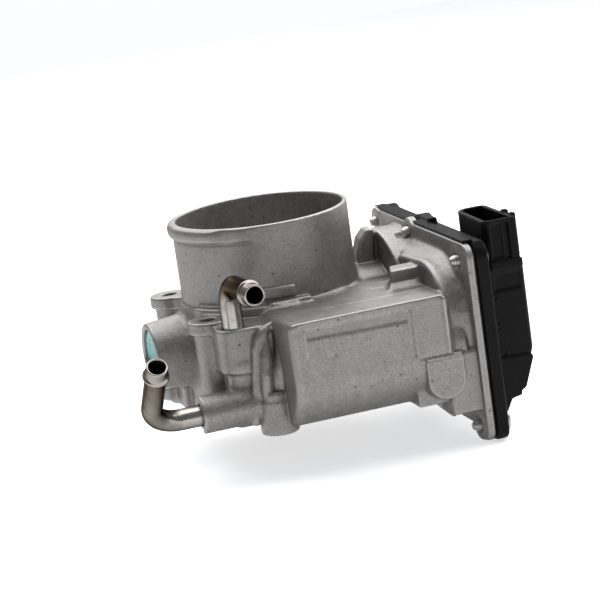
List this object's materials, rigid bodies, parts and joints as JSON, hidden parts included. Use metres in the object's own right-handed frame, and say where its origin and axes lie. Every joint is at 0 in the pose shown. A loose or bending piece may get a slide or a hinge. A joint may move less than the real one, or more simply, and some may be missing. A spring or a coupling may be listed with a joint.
{
  "type": "electronic throttle body",
  "caption": "Motor-driven throttle body: cast housing with air bore, butterfly plate on a geared shaft, coolant pipes and a black gear cover with connector.",
  "frame": {"origin": "centre of the bounding box's bottom, so the part stands on Z = 0", "axes": "+Z along the air bore towards the inlet, +X along the throttle shaft towards the gear cover, -Y towards the motor"},
  "size_m": [0.1678, 0.123, 0.1004],
  "materials": {
    "cast_aluminium": "die cast, satin grain",
    "pipe_steel": "bright drawn tube",
    "bright_steel": "ground",
    "zinc_steel": "zinc plated",
    "black_plastic": "moulded, satin",
    "seal_rubber": "matte",
    "plug_green": "blue-green sealer on steel",
    "gear_plastic": "moulded",
    "brass": "machined",
    "magnet": "sintered",
    "copper": "turned copper",
    "board_green": "lacquered circuit board"
  },
  "bodies": {
    "housing": {"ball_bearing_outer_ring": "bright_steel", "ball_cage": "bright_steel", "coolant_pipe_lower": "pipe_steel", "coolant_pipe_upper": "pipe_steel", "cover_screw_1": "zinc_steel", "cover_screw_2": "zinc_steel", "cover_screw_3": "zinc_steel", "cover_screw_4": "zinc_steel", "cover_screw_5": "zinc_steel", "cover_screw_6": "zinc_steel", "cover_seal": "seal_rubber", "gear_cover": "black_plastic", "idler_pin": "bright_steel", "motor_brush_1": "magnet", "motor_brush_2": "magnet", "motor_can": "zinc_steel", "motor_end_plate": "black_plastic", "motor_front_bush": "brass", "motor_magnet_1": "magnet", "motor_magnet_2": "magnet", "motor_rear_bush": "brass", "motor_screw_1": "zinc_steel", "motor_screw_2": "zinc_steel", "needle_bearing": "bright_steel", "position_sensor": "board_green", "return_spring": "bright_steel", "shaft_plug": "plug_green", "shaft_seal_left": "seal_rubber", "shaft_seal_right": "seal_rubber", "terminal_1": "brass", "terminal_2": "brass", "terminal_3": "brass", "terminal_4": "brass", "terminal_5": "brass", "terminal_6": "brass", "throttle_body": "cast_aluminium"},
    "throttle": {"throttle_shaft": "bright_steel", "throttle_plate": "brass", "plate_screw_1": "zinc_steel", "plate_screw_2": "zinc_steel", "sector_gear": "gear_plastic", "sensor_magnet": "magnet", "ball_bearing_inner_ring": "bright_steel"},
    "idler": {"idler_gear": "gear_plastic"},
    "rotor": {"motor_shaft": "bright_steel", "armature_core": "zinc_steel", "commutator": "copper", "motor_pinion": "brass"}
  },
  "joints": [
    {"name": "throttle_turn", "type": "hinge", "parent": "housing", "child": "throttle", "pos_m": [-0.00709, 0.021, 0.04637], "axis": [1, 0, 0], "range_deg": [-6, 78]},
    {"name": "idler_turn", "type": "hinge", "parent": "housing", "child": "idler", "pos_m": [-0.00709, -0.01393, 0.04854], "axis": [1, 0, 0], "range_deg": [-313, 25]},
    {"name": "rotor_turn", "type": "hinge", "parent": "housing", "child": "rotor", "pos_m": [-0.00709, -0.038, 0.04107], "axis": [1, 0, 0], "range_deg": [-93, 1201]}
  ],
  "couplings": [
    {"joint": "idler_turn", "follows": "throttle_turn", "ratio": -4},
    {"joint": "rotor_turn", "follows": "throttle_turn", "ratio": 15.385}
  ]
}
